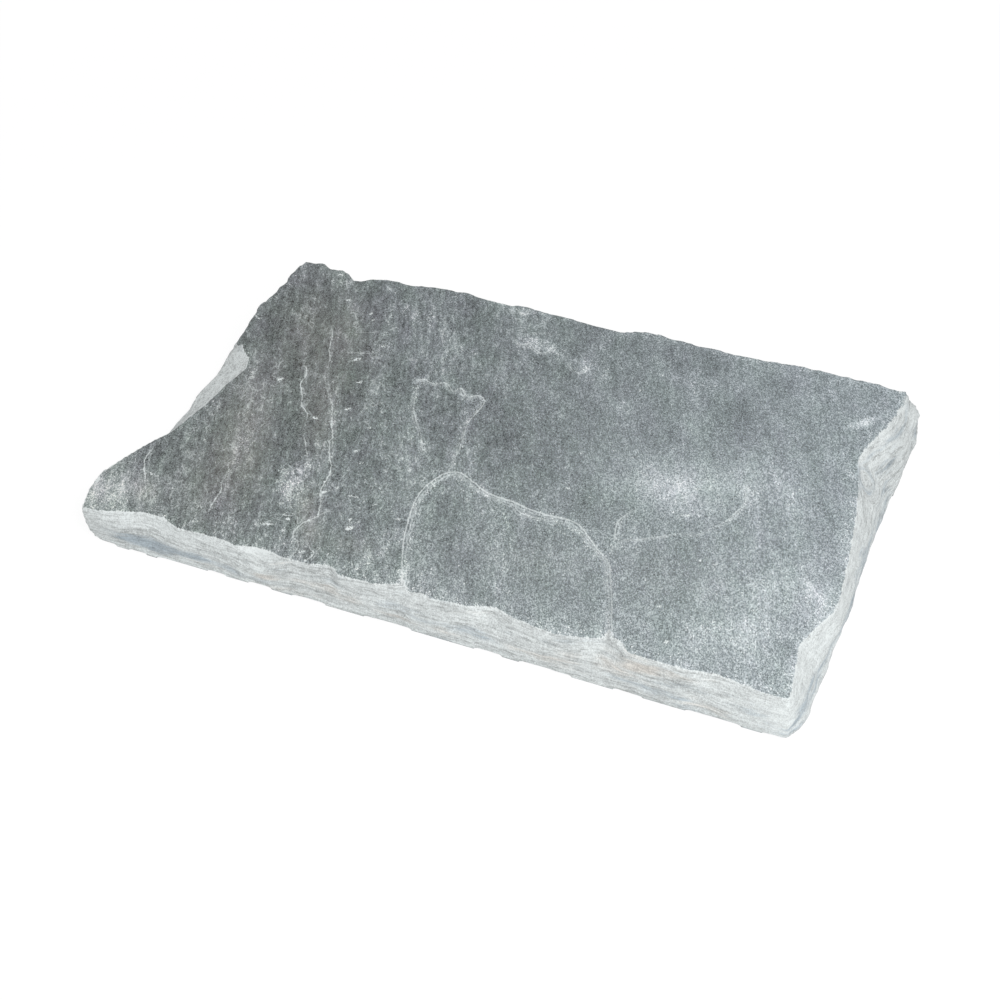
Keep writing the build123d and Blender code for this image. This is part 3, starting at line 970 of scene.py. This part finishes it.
def floor_finish(stage):
    """A floor that looks white and, round the slab, still takes its shadow."""
    material = bpy.data.materials.new("pale_floor")
    floor = Nodes(material)
    matt = floor.add("ShaderNodeBsdfDiffuse", {}, {"Color": (0.97, 0.97, 0.97)})
    glow = floor.add("ShaderNodeEmission", {}, {"Color": WHITE, "Strength": FLOOR_GLOW})
    where = floor.add("ShaderNodeTexCoord", {}, {}).outputs["Object"]
    away = floor.value("ShaderNodeVectorMath", {"operation": "LENGTH"}, {0: where}, "Value")
    share = seen(floor) * (1.0 - away.rise(*SHADOW_EDGE) * stage.floor_shade)
    mixed = floor.add("ShaderNodeMixShader", {}, {0: share, 1: matt.outputs[0], 2: glow.outputs[0]})
    floor.add("ShaderNodeOutputMaterial", {}, {"Surface": mixed.outputs[0]})
    return material


def lay_floor(scene, stage):
    """Adds the floor, just under the slab's bed."""
    bm = bmesh.new()
    bmesh.ops.create_grid(bm, x_segments=1, y_segments=1, size=stage.floor_size / 2)
    bmesh.ops.translate(bm, vec=(0.0, 0.0, -FLOOR_DROP), verts=bm.verts)
    mesh = bpy.data.meshes.new("floor")
    bm.to_mesh(mesh)
    bm.free()
    floor = bpy.data.objects.new("floor", mesh)
    scene.collection.objects.link(floor)
    mesh.materials.append(floor_finish(stage))


def light_evenly(scene, stage):
    """Adds even light from all round, which the camera sees as a white backdrop."""
    scene.world = bpy.data.worlds.new("even_light")
    light = Nodes(scene.world)
    lit = light.add("ShaderNodeBackground", {}, {"Color": WHITE, "Strength": stage.sky_level})
    backdrop = light.add("ShaderNodeBackground", {}, {"Color": WHITE, "Strength": 1.0})
    sides = {0: seen(light), 1: lit.outputs[0], 2: backdrop.outputs[0]}
    mixed = light.add("ShaderNodeMixShader", {}, sides)
    light.add("ShaderNodeOutputWorld", {}, {"Surface": mixed.outputs[0]})


def put_up(scene, name, data, place, ahead):
    """A lamp or a camera at that place, facing ahead."""
    item = bpy.data.objects.new(name, data)
    item.location = place
    item.rotation_mode = "QUATERNION"
    item.rotation_quaternion = ahead.to_track_quat("-Z", "Y")
    scene.collection.objects.link(item)
    return item


def put_up_lamp(scene, stage):
    """Adds the soft box, which faces the slab."""
    lamp = bpy.data.lights.new("soft_box", "AREA")
    lamp.energy, lamp.size = stage.lamp_power, stage.lamp_size
    put_up(scene, "soft_box", lamp, stage.lamp_place, -Vector(stage.lamp_place))


def put_up_camera(scene, stage):
    """Adds the camera, which sees the slab as the photo does."""
    lens = bpy.data.cameras.new("camera")
    lens.lens, lens.sensor_width = stage.camera_lens, 36.0
    lens.clip_start, lens.clip_end = 0.01, 50.0
    turn, fall = stage.camera_turn, stage.camera_fall
    ahead = Vector((-math.sin(turn) * math.cos(fall), math.cos(turn) * math.cos(fall), -math.sin(fall)))
    scene.camera = put_up(scene, "camera", lens, stage.camera_place, ahead)


class SLATE_OT_stone(bpy.types.Operator):
    """Dress the slab with its relief and its finish"""

    bl_idname = "slate.stone"
    bl_label = "Stepping Stone"

    def execute(self, context):
        shape, look = context.scene.slate_shape, context.scene.slate_finish
        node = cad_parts[NODE]
        mesh = even_slab(node, shape)
        paint(mesh, *relief(mesh, tread_plane(node.data), shape))
        mesh.name = "slate_slab"
        mesh.materials.clear()
        mesh.materials.append(slate_finish(look))
        mesh.shade_smooth()
        bed = max(mesh.polygons, key=lambda face: face.area)
        bed.use_smooth = False
        slab = bpy.data.objects.new("slate_slab", mesh)
        context.scene.collection.objects.link(slab)
        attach(slab, "root")
        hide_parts(NODE)
        return {"FINISHED"}


class SLATE_OT_stage(bpy.types.Operator):
    """Set up the pale floor, the soft light and the camera"""

    bl_idname = "slate.stage"
    bl_label = "Stage"

    def execute(self, context):
        scene, stage = context.scene, context.scene.slate_stage
        lay_floor(scene, stage)
        light_evenly(scene, stage)
        put_up_lamp(scene, stage)
        put_up_camera(scene, stage)
        scene.view_settings.view_transform = "Standard"
        return {"FINISHED"}


class SLATE_PT_panel(bpy.types.Panel):
    """The slab's settings and the buttons that build it"""

    bl_idname = "SLATE_PT_panel"
    bl_label = "Slate Stepping Stone"
    bl_space_type = "VIEW_3D"
    bl_region_type = "UI"
    bl_category = "Slate"

    def draw(self, context):
        for group, operator in (
            (context.scene.slate_shape, None),
            (context.scene.slate_finish, SLATE_OT_stone),
            (context.scene.slate_stage, SLATE_OT_stage),
        ):
            column = self.layout.column()
            for name in group.__annotations__:
                column.prop(group, name)
            if operator:
                column.operator(operator.bl_idname)


CLASSES = (StoneShape, StoneFinish, StoneStage, SLATE_OT_stone, SLATE_OT_stage, SLATE_PT_panel)


def register():
    for cls in CLASSES:
        bpy.utils.register_class(cls)
    bpy.types.Scene.slate_shape = PointerProperty(type=StoneShape)
    bpy.types.Scene.slate_finish = PointerProperty(type=StoneFinish)
    bpy.types.Scene.slate_stage = PointerProperty(type=StoneStage)


def unregister():
    for name in ("slate_shape", "slate_finish", "slate_stage"):
        delattr(bpy.types.Scene, name)
    for cls in reversed(CLASSES):
        bpy.utils.unregister_class(cls)


def main():
    register()
    bpy.ops.slate.stone()
    bpy.ops.slate.stage()


if __name__ == "__main__":
    main()
